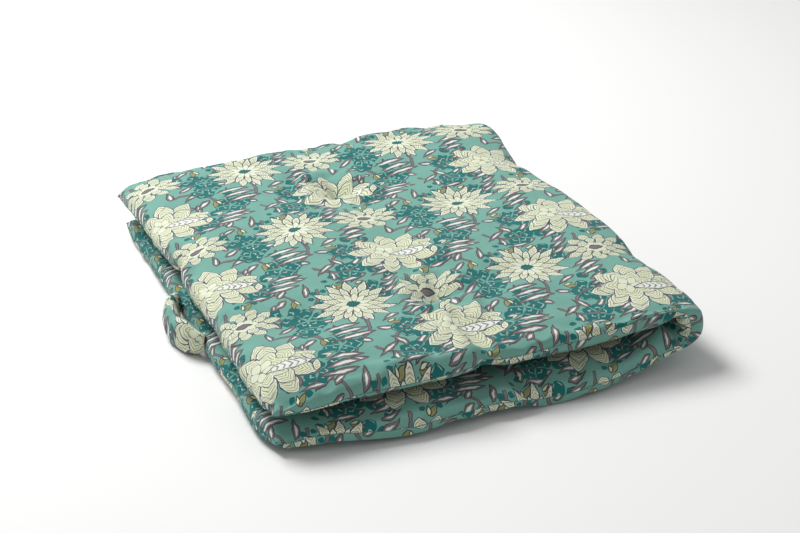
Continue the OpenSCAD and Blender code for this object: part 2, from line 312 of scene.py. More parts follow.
def make_floral_print():
    """The whole printed repeat: the colour of the inks at a place on the cloth."""
    tree, given, result = new_group(
        "floral print", [("Cloth", VECTOR)], [("Color", COLOUR)]
    )
    wobble = add_node(tree, "ShaderNodeTexNoise", noise_dimensions="2D")
    wobble.inputs["Scale"].default_value = 110.0
    wobble.inputs["Detail"].default_value = 1.0
    feed(tree, given.outputs["Cloth"], wobble.inputs["Vector"])
    centred = vector_maths(tree, "SUBTRACT", wobble.outputs["Color"], (0.5, 0.5, 0.5))
    shift = add_node(tree, "ShaderNodeVectorMath", operation="SCALE")
    feed(tree, centred, shift.inputs[0])
    shift.inputs["Scale"].default_value = 3.4 * MM
    cloth = vector_maths(tree, "ADD", given.outputs["Cloth"], shift.outputs[0])
    colour = SEA_GREEN

    def lay(mask, over):
        nonlocal colour
        colour = blend_colour(tree, mask, colour, over)

    def set_motif(shape, place, turn, times, sizes):
        """Place a motif once in the repeat, or several times, evenly spread along and across it."""
        motif = add_node(tree, "ShaderNodeGroup", node_tree=shape)
        feed(tree, cloth, motif.inputs["Cloth"])
        motif.inputs["Place"].default_value = (place[0] * MM, place[1] * MM, 0.0)
        half_repeat = (REPEAT_ALONG / 2 / times[0], REPEAT_ACROSS / 2 / times[1], 1.0)
        motif.inputs["Half Repeat"].default_value = half_repeat
        facing = math.radians(turn)
        motif.inputs["Facing"].default_value = (math.cos(facing), math.sin(facing), 0.0)
        motif.inputs["Side"].default_value = (-math.sin(facing), math.cos(facing), 0.0)
        for name, value in sizes.items():
            motif.inputs[name].default_value = value
        return motif.outputs

    def petals(place, turn, count, start, tip, half_width, inks, fullness=1.2, squash=1.0, pitch=4.5,
               times=(1, 1), stripe_edge=0.5):
        """Sizes in millimetres; inks are for the key line, the rim, the heart and its stripes."""
        masks = set_motif(petal_ring, place, turn, times, {
            "Petals": count, "Start": start * MM, "Tip": tip * MM, "Half Width": half_width * MM,
            "Fullness": fullness, "Squash": squash, "Stripe Pitch": pitch * MM, "Stripe Edge": stripe_edge})
        for name, over in zip(("Key", "Rim", "Heart", "Stripes"), inks):
            if over is not None:
                lay(masks[name], over)

    def leaf(place, turn, length, half_width=6.2, bend=3.2, inks=(TAUPE, MAUVE_GREY, CHALK), rim=4.0,
             times=(1, 1), side_rows=0, pitch=14.0, set_back=5.0):
        masks = set_motif(leaf_shape, place, turn, times, {
            "Length": length * MM, "Half Width": half_width * MM, "Bend": bend, "Rim Width": rim * MM,
            "Row Pitch": pitch * MM, "Side Rows": side_rows, "Set Back": set_back * MM})
        for name, over in zip(("Key", "Rim", "Heart"), inks):
            lay(masks[name], over)

    def stalk(place, turn, radius, sweep, times=(1, 1)):
        masks = set_motif(stem, place, turn, times, {
            "Radius": radius * MM, "Sweep": math.radians(sweep), "Half Width": 2.5 * MM})
        lay(masks["Line"], TAUPE)
        lay(masks["Light"], MAUVE_GREY)

    # Curved stalks join the flowers.
    stalk((100, 60), 10, 52, 70)
    stalk((70, 160), 300, 50, 60, times=(2, 1))
    stalk((205, 206), 120, 40, 50, times=(1, 2))
    stalk((40, 20), 60, 46, 46, times=(1, 2))
    stalk((176, 8), 262, 42, 60, times=(2, 1))
    # Short leaves between the flowers.
    for place, turn, length, times in (
        ((152, 60), 70, 28, (2, 2)), ((156, 36), 325, 30, (2, 1)), ((66, 48), 35, 27, (1, 2)),
        ((48, 92), 100, 30, (2, 2)), ((186, 34), 250, 25, (2, 2)), ((96, 206), 20, 26, (1, 2)),
        ((140, 6), 140, 24, (2, 1)), ((226, 86), 340, 26, (2, 2)), ((200, 64), 190, 34, (2, 2)),
        ((76, 150), 200, 30, (2, 2)),
    ):
        leaf(place, turn, length, 5.8, 10.0, times=times)
    for place, turn, length, times in (
        ((182, 200), 25, 44, (1, 1)), ((100, 146), 60, 36, (1, 2)), ((74, 92), 318, 34, (1, 1)),
        ((168, 214), 200, 40, (1, 2)), ((40, 78), 20, 36, (2, 1)), ((60, 168), 170, 40, (2, 1)),
    ):
        leaf(place, turn, length, 5.6, 7.0, times=times)
    # Teal flowers of five and three lobes with chalk strokes, and clusters of berries.
    teal = (DEEP_TEAL, None, None, CHALK)
    for place, turn, size, times in (
        ((86, 98), 10, 1.15, (1, 1)), ((100, 12), 60, 1.25, (1, 1)), ((196, 20), 20, 1.15, (1, 2)),
        ((52, 190), 140, 0.95, (2, 1)), ((72, 64), 30, 0.8, (1, 1)),
    ):
        petals(place, turn, 5, 1, 23 * size, 9.0 * size, teal, 1.6, pitch=13.0, times=times, stripe_edge=0.78)
    for place, turn, times in (
        ((62, 118), 20, (1, 1)), ((225, 178), 40, (1, 1)), ((94, 62), 80, (2, 1)), ((82, 212), 130, (2, 1)),
    ):
        petals(place, turn, 3, 1, 24, 9.6, teal, 1.6, pitch=14.0, times=times, stripe_edge=0.78)
    petals((120, 28), 0, 6, 9, 19, 4.4, (DEEP_TEAL,), fullness=1.0, times=(1, 2))
    petals((20, 168), 30, 6, 9, 19, 4.4, (DEEP_TEAL,), fullness=1.0, times=(2, 1))
    # Sprays of long curved leaves in rows.
    leaf((148, 44), 178, 66, side_rows=1, set_back=-6.0)
    leaf((112, 192), 170, 56, side_rows=1, times=(1, 1), set_back=5.0)
    leaf((250, 196), 190, 48, side_rows=1, times=(1, 2))
    leaf((206, 28), 12, 34, 5.4, 6.0, times=(1, 2), side_rows=1, pitch=12.0, set_back=8.0)
    # Small buds in twos.
    for place, turn, times in (((126, 92), 20, (2, 1)), ((174, 44), 330, (1, 2)), ((14, 150), 40, (2, 1)),
                               ((84, 34), 250, (1, 2))):
        leaf(place, turn, 20, 4.8, 0.0, (TAUPE, PALE_OLIVE, OLIVE), 2.0, times)
        leaf(place, turn + 42, 15, 3.4, 0.0, (TAUPE, PALE_OLIVE, CREAM), 1.8, times)

    striped = (TAUPE, CHALK, CREAM, OLIVE)
    # A star bloom with a teal eye.
    star = (155, 112)
    petals(star, 0, 13, 14, 61, 7.4, striped, 1.0, 1.1, 4.0)
    petals(star, 14, 13, 8, 45, 6.4, striped, 1.1, 1.1, 4.0)
    petals(star, 4, 11, 2, 28, 5.2, (OLIVE, CHALK, CREAM), 1.1, 1.1)
    leaf((145, 112), 0, 20, 6.5, 0.0, (TAUPE, DEEP_TEAL, DEEP_TEAL))
    # A round scalloped bloom with a grey heart.
    rose = (6, 118)
    petals(rose, 0, 11, 10, 50, 9.4, striped, 1.9, 1.5, 4.6)
    petals(rose, 16, 9, 5, 35, 8.6, striped, 1.8, 1.5, 4.6)
    petals(rose, 0, 7, 0, 20, 7.0, (OLIVE, CHALK, CREAM), 1.5, 1.5)
    leaf((-6, 118), 0, 24, 5.4, 0.0, (TAUPE, MAUVE_GREY, MAUVE_GREY))
    # A large layered bloom with a long pale middle petal.
    petals((0, 0), 8, 9, 12, 66, 14.0, striped, 1.35, 1.1, 5.0)
    petals((-3, 3), 30, 8, 6, 53, 13.2, striped, 1.35, 1.1, 5.0)
    petals((-7, 5), 5, 7, 0, 37, 11.4, striped, 1.25, 1.1, 5.0)
    petals((-9, 6), 40, 5, 0, 20, 8.0, (OLIVE, CHALK, CREAM), 1.2, 1.1)
    petals((-8, -2), 354, 1, 0, 66, 9.5, (TAUPE, CHALK, CHALK, MAUVE_GREY), 1.0, pitch=9.0)
    petals((60, -9), 10, 3, 0, 24, 6.0, striped, 1.0)
    leaf((62, -9), 8, 13, 4.4, 0.0, (DEEP_TEAL, DEEP_TEAL, DEEP_TEAL))

    feed(tree, colour, result.inputs["Color"])
    return tree


def make_plain_weave():
    """Crossing threads of a plain weave, and the slubs that thicken some of them."""
    tree, given, result = new_group(
        "plain weave", [("Cloth", VECTOR), ("Threads", FLOAT)], [("Height", FLOAT), ("Slub", FLOAT)]
    )
    scaled = add_node(tree, "ShaderNodeVectorMath", operation="SCALE")
    feed(tree, given.outputs["Cloth"], scaled.inputs[0])
    feed(tree, given.outputs["Threads"], scaled.inputs["Scale"])
    split = add_node(tree, "ShaderNodeSeparateXYZ")
    feed(tree, scaled.outputs[0], split.inputs[0])
    warp = maths(tree, "COSINE", maths(tree, "MULTIPLY", split.outputs["X"], 2 * math.pi))
    weft = maths(tree, "COSINE", maths(tree, "MULTIPLY", split.outputs["Y"], 2 * math.pi))
    feed(tree, maths(tree, "MULTIPLY", warp, weft), result.inputs["Height"])
    slub = add_node(tree, "ShaderNodeTexNoise", noise_dimensions="2D")
    slub.inputs["Scale"].default_value = 1.0
    slub.inputs["Detail"].default_value = 1.0
    stretched = vector_maths(tree, "MULTIPLY", given.outputs["Cloth"], (90.0, 700.0, 1.0))
    feed(tree, stretched, slub.inputs["Vector"])
    feed(tree, slub.outputs["Fac"], result.inputs["Slub"])
    return tree


floral_print = make_floral_print()
plain_weave = make_plain_weave()
THREADS_PER_M = 1900.0


def make_printed_cotton(name, turn):
    """Printed cotton whose warp is turned by an angle to the piece it is cut for."""
    material = bpy.data.materials.new(name)
    material.use_nodes = True
    tree = material.node_tree
    shader = tree.nodes["Principled BSDF"]
    panel = add_node(tree, "ShaderNodeUVMap", uv_map="cloth")
    turned = add_node(tree, "ShaderNodeVectorRotate", rotation_type="Z_AXIS")
    feed(tree, panel.outputs[0], turned.inputs["Vector"])
    turned.inputs["Angle"].default_value = turn
    cloth = turned.outputs[0]
    printed = add_node(tree, "ShaderNodeGroup", node_tree=floral_print)
    feed(tree, cloth, printed.inputs["Cloth"])
    weave = add_node(tree, "ShaderNodeGroup", node_tree=plain_weave)
    feed(tree, cloth, weave.inputs["Cloth"])
    weave.inputs["Threads"].default_value = THREADS_PER_M
    patches = add_node(tree, "ShaderNodeTexNoise", noise_dimensions="2D")
    patches.inputs["Scale"].default_value = 26.0
    patches.inputs["Detail"].default_value = 4.0
    feed(tree, cloth, patches.inputs["Vector"])
    # Base colour: random mottled patches and yarn slubs of the cotton, times painted weave shade.
    mottle_and_weave_shade = maths(tree, "ADD", maths(tree, "MULTIPLY", patches.outputs["Fac"], 0.22), 0.90)
    mottle_and_weave_shade = maths(tree, "ADD", mottle_and_weave_shade, maths(tree, "MULTIPLY", weave.outputs["Slub"], 0.10))
    # Painted weave shade: raised thread crossings are painted a little lighter and the dips between threads a
    # little darker.
    mottle_and_weave_shade = maths(tree, "SUBTRACT", mottle_and_weave_shade, maths(tree, "MULTIPLY", weave.outputs["Height"], -0.04))
    toned = add_node(tree, "ShaderNodeVectorMath", operation="SCALE")
    feed(tree, printed.outputs["Color"], toned.inputs[0])
    feed(tree, mottle_and_weave_shade, toned.inputs["Scale"])
    feed(tree, toned.outputs[0], shader.inputs["Base Color"])
    feed(tree, maths(tree, "SUBTRACT", 0.96, maths(tree, "MULTIPLY", patches.outputs["Fac"], 0.20)),
         shader.inputs["Roughness"])
    bump = add_node(tree, "ShaderNodeBump")
    bump.inputs["Strength"].default_value = 0.35
    bump.inputs["Distance"].default_value = 0.0004
    height = maths(tree, "ADD", weave.outputs["Height"], maths(tree, "MULTIPLY", weave.outputs["Slub"], 1.2))
    feed(tree, height, bump.inputs["Height"])
    feed(tree, bump.outputs[0], shader.inputs["Normal"])
    shader.inputs["Specular IOR Level"].default_value = 0.25
    shader.inputs["Sheen Weight"].default_value = 0.12
    shader.inputs["Sheen Roughness"].default_value = 0.5
    return material


cover_cotton = make_printed_cotton("printed cotton", 0.0)
strap_cotton = make_printed_cotton("strap cotton", math.pi / 2)

# ---- Cover ------------------------------------------------------------------------------------
# Two printed panels sewn together round the edge and turned, with no boxing strip, then stuffed.
# The tufts draw both faces in, the long edges are caught at the middle of each half, and
# the inner panel gathers into pleats where the mattress folds.
inner_low = [Vector(corner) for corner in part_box("inner_panel_lower")]
inner_high = [Vector(corner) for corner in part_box("inner_panel_upper")]
nose_box = [Vector(corner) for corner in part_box("outer_panel_fold")]
fold_z = (inner_low[1].z + inner_high[0].z) / 2
fold_x = nose_box[1].x - fold_z
open_x = inner_low[0].x
front_y = inner_low[0].y
cover_w = inner_low[1].y - front_y
twine_box = [Vector(corner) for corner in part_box("tuft_twine_lower")]
tuft_x = (twine_box[0].x + twine_box[1].x) / 2
tuft_row = twine_box[1].y - (twine_box[1].x - twine_box[0].x) / 2
half_run = fold_x - open_x
bend_run = math.pi * fold_z
panel_run = 2 * half_run + bend_run
EDGE_STEPS = (0.0, 0.0015, 0.004, 0.0075, 0.012, 0.018, 0.0245)
CLOTH_STEP = 0.0072


def steps_across(run, step):
    """Distances across a panel, close together at both edges and even between them."""
    inner_run = run - 2 * EDGE_STEPS[-1]
    count = 2 * round(inner_run / step / 2)
    even = [EDGE_STEPS[-1] + inner_run * i / count for i in range(1, count)]
    return np.array(list(EDGE_STEPS) + even + [run - d for d in reversed(EDGE_STEPS)])


u_line = steps_across(panel_run, CLOTH_STEP)
v_line = steps_across(cover_w, CLOTH_STEP)
U, V = np.meshgrid(u_line, v_line, indexing="ij")
rows, columns = U.shape
mid_row = rows // 2


def smooth(value, low, high):
    t = np.clip((value - low) / (high - low), 0.0, 1.0)
    return t * t * (3 - 2 * t)


def soft_noise(x, y, seed, octaves=1):
    """Even noise over the cloth, from about -1 to 1."""
    flat_x, flat_y = np.broadcast_arrays(x, y)
    total = np.zeros(flat_x.shape)
    for octave in range(octaves):
        scale = 2.0 ** octave
        values = [noise.noise(Vector((a * scale, b * scale, seed + octave * 7.3)))
                  for a, b in zip(flat_x.ravel(), flat_y.ravel())]
        total += np.array(values).reshape(flat_x.shape) / scale
    return total


side_gap = np.minimum(V, cover_w - V)
end_gap = np.minimum(U, panel_run - U)
edge_gap = np.minimum(side_gap, end_gap)
centre_v = V - cover_w / 2
upper_share = smooth(U, half_run + bend_run * 0.25, half_run + bend_run * 0.75)
tuft_u = (tuft_x - open_x, panel_run / 2, panel_run - (tuft_x - open_x))
TUFTS = [(u, side * tuft_row) for u in tuft_u for side in (-1, 1)]
WELL_DEPTHS = (0.5, 0.5, 0.35, 0.45, 1.15, 1.25)
EDGE_CATCHES = [(tuft_u[0] - 0.018, -1, 0.35), (tuft_u[0], 1, 0.35), (tuft_u[2] + 0.006, -1, 0.9)]

# How tufts and caught edges pull the cloth: wells, valleys between them and creases round them.
wells = np.zeros(U.shape)
creases = np.zeros(U.shape)
for number, ((u, v), strength) in enumerate(zip(TUFTS, WELL_DEPTHS)):
    du, dv = U - u, centre_v - v
    rho = np.hypot(du, dv)
    wells += strength * (0.56 * np.exp(-(rho / 0.018) ** 2) + 0.44 * np.exp(-(rho / 0.058) ** 2))
    theta = np.arctan2(dv, du)
    rays = np.sin(5 * theta + number * 1.7 + 1.3 * np.sin(2 * theta + number))
    creases += strength * np.exp(-((rho - 0.040) / 0.034) ** 2) * rays
catches = np.zeros(U.shape)
for u, side, strength in EDGE_CATCHES:
    gap = V if side < 0 else cover_w - V
    catches += strength * np.exp(-((U - u) / 0.015) ** 2) * np.exp(-gap / 0.040)
catches = np.clip(catches, 0.0, 1.0)
valleys = np.zeros(U.shape)
for u in tuft_u:
    valleys += np.exp(-((U - u) / 0.034) ** 2)
for row in (-tuft_row, tuft_row):
    valleys += 0.8 * np.exp(-((centre_v - row) / 0.036) ** 2)
valleys = np.clip(valleys, 0.0, 1.1)
ripple = soft_noise(U * 9.0, V * 22.0, 3.1, 2)
lumps = soft_noise(U * 6.0, V * 6.0, 9.4, 2)
puckers = soft_noise(U * 40.0, V * 40.0, 21.0, 2)


def edge_round(gap, radius, power):
    t = np.clip(gap / radius, 0.0, 1.0)
    return (1 - (1 - t) ** power) ** (1 / power)


SEAM_LOWER, SEAM_UPPER, CORNER_DROOP = 0.0297, 0.0120, 0.006
seam_share = smooth(U, half_run + bend_run * 0.4, half_run + bend_run + 0.42)
corner_gap = np.hypot(side_gap, end_gap)
seam_depth = SEAM_LOWER + (SEAM_UPPER - SEAM_LOWER) * seam_share
seam_depth -= CORNER_DROOP * upper_share * np.exp(-(corner_gap / 0.07) ** 2)
bend_angle = np.clip((U - half_run) / bend_run, 0.0, 1.0) * math.pi
in_bend = np.sin(bend_angle)
near_seam = np.exp(-edge_gap / 0.016) * (1 - np.exp(-edge_gap / 0.002))


NOSE_SWELL = 0.017
FRONT_DENTS = (0.330, 0.362, 0.418)


def outer_depth():
    """Distance of the outer panel from the crease plane over the cloth."""
    crown = 0.0095 * upper_share * np.sqrt(np.clip(edge_gap / 0.16, 0, 1))
    back_crown = np.exp(-((cover_w - V - 0.055) / 0.055) ** 2) * smooth(end_gap, 0.10, 0.30)
    crown += 0.0070 * upper_share * back_crown
    near_back = smooth(V, cover_w * 0.6, cover_w)
    radius = 0.034 + (0.030 - 0.018 * near_back) * upper_share
    rise = edge_round(side_gap, radius, 2.2) * edge_round(end_gap, radius, 2.2)
    depth = seam_depth + (fold_z + crown - seam_depth) * rise
    soft = 0.0050 * lumps + 0.0018 * ripple + 0.0044 * creases - 0.0065 * valleys - 0.034 * wells
    depth += soft * (0.15 + 0.85 * upper_share) * smooth(edge_gap, 0.004, 0.060)
    depth += (seam_depth - depth) * 0.40 * catches
    return depth + 0.0036 * puckers * near_seam + NOSE_SWELL * in_bend * rise


CREASE_APEX = 0.0090
PLEAT = 0.0140


def inner_depth():
    """Distance of the inner panel from the crease plane, with its two pleats in the fold."""
    radius = 0.055 - 0.022 * upper_share
    rise = edge_round(side_gap, radius, 2.0) * edge_round(end_gap, radius, 2.2)
    depth = seam_depth + (0.0008 - seam_depth) * rise
    soft = 0.0030 * valleys + 0.012 * wells + 0.0012 * np.abs(lumps)
    depth += soft * smooth(edge_gap, 0.004, 0.050) * (1 - in_bend)
    depth += (seam_depth - depth) * 0.40 * catches
    gathered = edge_round(side_gap, 0.070, 2.0)
    depth += (CREASE_APEX * in_bend ** 2 + PLEAT * np.abs(np.sin(2 * bend_angle))) * gathered
    for u in FRONT_DENTS:
        depth += 0.0090 * np.exp(-((U - u) / 0.009) ** 2) * np.exp(-((V - 0.020) / 0.030) ** 2)
    folds = np.sin(7 * bend_angle + 2.0 * soft_noise(U * 20, V * 9, 5.0)) * np.exp(-side_gap / 0.035)
    depth += 0.0050 * folds * in_bend * (1 - np.exp(-side_gap / 0.008))
    return np.maximum(depth + 0.0018 * puckers * near_seam, 0.0006)


# The long edges and the open ends draw in between the corners, and the seam lies in a groove.
corner_far = np.clip(end_gap / (half_run * 0.9), 0.0, 1.0)
draw_side = (0.001 + 0.005 * upper_share) * np.sin(math.pi * corner_far)
side_wave = soft_noise(U * 12.0, np.sign(centre_v) * 5.0, 4.4, 2)
end_wave = soft_noise(V * 10.0, upper_share.round() * 6.0, 8.8, 2)
groove = 0.0030 * np.exp(-edge_gap / 0.0025) + 0.0026 * puckers * np.exp(-edge_gap / 0.012)
side_pull = (draw_side + 0.003 * side_wave + 0.014 * catches) * np.exp(-side_gap / 0.070)
side_pull += groove * (side_gap <= end_gap)
corner_pull = 0.012 * np.exp(-(corner_gap / 0.045) ** 2) * (centre_v < 0)
side_pull += corner_pull
on_back = (centre_v > 0).astype(float)
over_bend = smooth(U, half_run - 0.02, half_run + bend_run * 0.5)
past_bend = smooth(U, half_run + bend_run * 0.6, half_run + bend_run + 0.16)
side_pull += 0.012 * on_back * over_bend * (1 - past_bend) * np.exp(-side_gap / 0.080)
back_bulge = on_back * past_bend * np.clip(end_gap / 0.12, 0, 1)
side_pull -= 0.012 * back_bulge * np.exp(-side_gap / 0.090)
half_share = centre_v / (cover_w / 2)
end_pull = (0.001 + 0.006 * upper_share) * (1 - half_share ** 2) + 0.003 * end_wave
end_pull *= np.exp(-end_gap / 0.070)
end_pull += groove * (end_gap < side_gap) + corner_pull

# The lower half lies a little further forward than the upper one, and slightly askew.
back_share = smooth(V, 0.0, cover_w)
front_slip = 0.004 + 0.022 * smooth(U, 0.02, 0.20) * (1 - 0.5 * smooth(U, 0.42, half_run))
back_slip = 0.034 * (1 - np.clip(U / half_run, 0, 1))
slip = front_slip + (back_slip - front_slip) * back_share
slip *= 1 - smooth(U, half_run, half_run + bend_run * 0.6)
end_pinch = np.exp(-((V - 0.413) / 0.017) ** 2) * upper_share
end_pull += 0.009 * end_pinch * np.exp(-end_gap / 0.045)
NOSE_UNDER, NOSE_OVER, NOSE_LIFT = 0.135, 0.080, 0.012
nose_tip = fold_x + fold_z


def lay_panel(depth, belly, squeezed):
    """A panel's points: flat below the crease plane, round the fold, and back above it."""
    roll = belly * np.exp(-((edge_gap - 0.012) / 0.009) ** 2)
    laid_y = front_y + V - np.sign(centre_v) * (side_pull - roll * (side_gap <= end_gap)) - slip
    laid_u = U + np.where(U < panel_run / 2, 1.0, -1.0) * (end_pull - roll * (end_gap < side_gap))
    angle = np.clip((laid_u - half_run) / bend_run, 0.0, 1.0) * math.pi
    before = np.minimum(laid_u - half_run, 0.0)
    after = np.maximum(laid_u - half_run - bend_run, 0.0)
    x = fold_x + before - after + depth * np.sin(angle)
    z = fold_z - depth * np.cos(angle)
    under = np.clip((x - nose_tip + NOSE_UNDER) / NOSE_UNDER, 0.0, 0.995)
    over = np.clip((x - nose_tip + NOSE_OVER) / NOSE_OVER, 0.0, 0.995)
    circle = np.clip((x - fold_x) / fold_z, 0.0, 0.995)
    squeeze = np.sqrt((1 - np.where(z < fold_z, under, over) ** 2) / (1 - circle ** 2))
    lift = NOSE_LIFT * smooth(x, nose_tip - 0.17, nose_tip)
    z = fold_z + lift + (z - fold_z) * (1 - squeezed * (1 - np.minimum(squeeze, 1.0)))
    z = z + 0.0030 * soft_noise(x * 7.0, laid_y * 7.0, 31.0) * smooth(z, 0.008, 0.030)
    return np.stack([x, laid_y, np.maximum(z, 0.0004)], axis=-1)


outer_grid = lay_panel(outer_depth(), 0.010 * (1 - upper_share), 1.0)
inner_grid = lay_panel(inner_depth(), 0.004 * upper_share * (1 - seam_share), np.exp(-side_gap / 0.030))
is_edge = edge_gap == 0
inner_grid[is_edge] = outer_grid[is_edge]


def grid_faces(first_row, last_row, start, flip):
    """Four-sided faces over some rows of a panel, whose points begin at a given number."""
    faces = []
    for i in range(last_row - first_row):
        for j in range(columns - 1):
            a = start + i * columns + j
            face = (a, a + columns, a + columns + 1, a + 1)
            faces.append(face[::-1] if flip else face)
    return faces


def add_piece(name, points, faces, material, uvs=None):
    """A smooth-shaded mesh piece, with the cloth's own coordinates where it is cut from cloth."""
    mesh = bpy.data.meshes.new(name)
    mesh.from_pydata([tuple(point) for point in points], [], faces)
    if uvs is not None:
        layer = mesh.uv_layers.new(name="cloth")
        corner = np.zeros(len(mesh.loops), dtype=np.int32)
        mesh.loops.foreach_get("vertex_index", corner)
        layer.data.foreach_set("uv", np.asarray(uvs, dtype=np.float32)[corner].ravel())
    mesh.polygons.foreach_set("use_smooth", [True] * len(mesh.polygons))
    mesh.materials.append(material)
    piece = bpy.data.objects.new(name, mesh)
    bpy.context.scene.collection.objects.link(piece)
    return piece


PRESSURE = 3.0
CLOTH_STIFFNESS = 12.0
SPARE_CLOTH = 0.035
LAST_FRAME = 20
PINNED_WELL = 0.30
MOST_MOVE = 0.012


def settle_cloth():
    """Draw the sewn cover in on its tufts, with a little spare cloth, so that it takes its own creases.

    The bag's faces look inward, so the pressure pulls the panels together and doesn't fill them.
    """
    points = np.concatenate([outer_grid.reshape(-1, 3), inner_grid.reshape(-1, 3)])
    inner_start = rows * columns
    number = np.arange(2 * inner_start)
    flat_edge = np.flatnonzero(is_edge.ravel())
    number[inner_start + flat_edge] = flat_edge
    faces = grid_faces(0, rows - 1, 0, False) + grid_faces(0, rows - 1, inner_start, True)
    faces = [tuple(int(number[i]) for i in face) for face in faces]
    kept, compact = np.unique(number, return_inverse=True)
    faces = [tuple(int(compact[i]) for i in face) for face in faces]
    bag = add_piece("sewn cover", points[kept], faces, cover_cotton)
    held = bag.vertex_groups.new(name="held")
    hold = wells > PINNED_WELL
    pinned = np.concatenate([hold.ravel(), np.maximum(hold, in_bend > 0.0).ravel()])[kept]
    held.add([int(i) for i in np.flatnonzero(pinned > 0.5)], 1.0, "REPLACE")
    cloth = bag.modifiers.new("cloth", "CLOTH")
    settings = cloth.settings
    settings.quality = 5
    settings.mass = 0.25
    settings.tension_stiffness = CLOTH_STIFFNESS
    settings.compression_stiffness = CLOTH_STIFFNESS
    settings.shear_stiffness = CLOTH_STIFFNESS / 2
    settings.bending_stiffness = 0.4
    settings.use_pressure = True
    settings.uniform_pressure_force = PRESSURE
    settings.shrink_min = -SPARE_CLOTH
    settings.vertex_group_mass = "held"
    settings.effector_weights.gravity = 0.0
    cloth.collision_settings.use_collision = False
    cloth.point_cache.frame_start = 1
    cloth.point_cache.frame_end = LAST_FRAME
    for frame_number in range(1, LAST_FRAME + 1):
        bpy.context.scene.frame_set(frame_number)
    mesh = bag.evaluated_get(bpy.context.evaluated_depsgraph_get()).data
    moved = np.zeros(len(kept) * 3)
    mesh.vertices.foreach_get("co", moved)
    moved = moved.reshape(-1, 3)[compact]
    bpy.data.objects.remove(bag)
    bpy.context.scene.frame_set(1)
    step = moved - points
    length = np.linalg.norm(step, axis=1, keepdims=True)
    step *= np.minimum(1.0, MOST_MOVE / np.maximum(length, 1e-9))
    along_floor = 1 - 0.8 * np.exp(-np.tile(edge_gap.ravel(), 2) / 0.05)
    step[:, :2] *= along_floor[:, None]
    settled = points + step
    return settled[:inner_start].reshape(rows, columns, 3), settled[inner_start:].reshape(rows, columns, 3)


outer_grid, inner_grid = settle_cloth()

# The outer panel runs round the fold in one even sweep.
EVEN_PASSES = 9
nose_share = smooth(U, half_run - 0.05, half_run) * smooth(side_gap, 0.0, 0.030)
nose_share *= 1 - smooth(U, half_run + bend_run, half_run + bend_run + 0.07)
for _ in range(EVEN_PASSES):
    between = (outer_grid[:-2] + outer_grid[2:]) / 2
    outer_grid[1:-1] += 0.5 * nose_share[1:-1, :, None] * (between - outer_grid[1:-1])


def rest_on_floor_and_layer(grid):
    """Nothing sinks into the floor, and each half keeps to its own side of the crease plane."""
    z = grid[..., 2]
    lift = NOSE_LIFT * smooth(grid[..., 0], nose_tip - 0.17, nose_tip)
    plane = fold_z + lift
    flat = (bend_angle <= 0) | (bend_angle >= math.pi)
    below = flat & (U < panel_run / 2)
    above = flat & (U > panel_run / 2)
    z = np.where(below, np.minimum(z, plane - 0.0003), z)
    z = np.where(above, np.maximum(z, plane + 0.0003), z)
    grid[..., 2] = np.clip(z, 0.0004, 0.1035)
    return grid


outer_grid = rest_on_floor_and_layer(outer_grid)
inner_grid = rest_on_floor_and_layer(inner_grid)
inner_grid[is_edge] = outer_grid[is_edge]


def cloth_lengths(grid):
    """Metres of cloth along and across the panel at each of its points."""
    along = np.linalg.norm(np.diff(grid, axis=0), axis=-1)
    across = np.linalg.norm(np.diff(grid, axis=1), axis=-1)
    run_along = np.concatenate([[0.0], np.cumsum(np.median(along, axis=1))])
    run_across = np.concatenate([[0.0], np.cumsum(np.median(across, axis=0))])
    along_grid, across_grid = np.meshgrid(run_along, run_across - run_across[-1] / 2, indexing="ij")
    return np.stack([along_grid, across_grid], axis=-1)


# The outer panel's print runs the other way from the rows of the panel, to read right from outside.
PRINT_ON_TOP = (0.004, -0.059)
PRINT_INSIDE = (0.070, 0.050)
top_row = int(np.argmin(np.abs(u_line - tuft_u[2])))
outer_cloth = cloth_lengths(outer_grid)
outer_cloth[..., 0] = outer_cloth[top_row, 0, 0] - outer_cloth[..., 0] + tuft_x
outer_cloth -= np.array(PRINT_ON_TOP)
inner_cloth = cloth_lengths(inner_grid) + np.array(PRINT_INSIDE)


FURTHER_ROWS = 2


def half_cover(name, wanted_first, wanted_last):
    """One half's two panels as one piece, sewn where their edges meet, and smooth into the other half."""
    first_row = max(wanted_first - FURTHER_ROWS, 0)
    last_row = min(wanted_last + FURTHER_ROWS, rows - 1)
    part = slice(first_row, last_row + 1)
    points = np.concatenate([outer_grid[part].reshape(-1, 3), inner_grid[part].reshape(-1, 3)])
    uvs = np.concatenate([outer_cloth[part].reshape(-1, 2), inner_cloth[part].reshape(-1, 2)])
    inner_start = (last_row - first_row + 1) * columns
    faces = grid_faces(first_row, last_row, 0, True) + grid_faces(first_row, last_row, inner_start, False)
    piece = add_piece(name, points, faces, cover_cotton, uvs)
    finer = piece.modifiers.new("finer", "SUBSURF")
    finer.levels = 1
    finer.uv_smooth = "PRESERVE_BOUNDARIES"
    mesh = bpy.data.meshes.new_from_object(piece.evaluated_get(bpy.context.evaluated_depsgraph_get()))
    piece.modifiers.remove(finer)
    piece.data = mesh
    quads = (last_row - first_row) * (columns - 1)
    row_of = first_row + (np.arange(2 * quads) % quads) // (columns - 1)
    spare = np.repeat((row_of < wanted_first) | (row_of >= wanted_last), 4)
    shading = np.zeros(len(mesh.vertices) * 3, dtype=np.float32)
    mesh.vertex_normals.foreach_get("vector", shading)
    shading = shading.reshape(-1, 3)
    cutter = bmesh.new()
    cutter.from_mesh(mesh)
    cutter.verts.ensure_lookup_table()
    kept_mark = cutter.verts.layers.int.new("kept")
    for vertex in cutter.verts:
        vertex[kept_mark] = vertex.index
    spare_faces = [face for face, drop in zip(cutter.faces, spare) if drop]
    bmesh.ops.delete(cutter, geom=spare_faces, context="FACES")
    order = [vertex[kept_mark] for vertex in cutter.verts]
    cutter.verts.layers.int.remove(kept_mark)
    cutter.to_mesh(mesh)
    cutter.free()
    mesh.normals_split_custom_set_from_vertices([tuple(normal) for normal in shading[order]])
    return piece


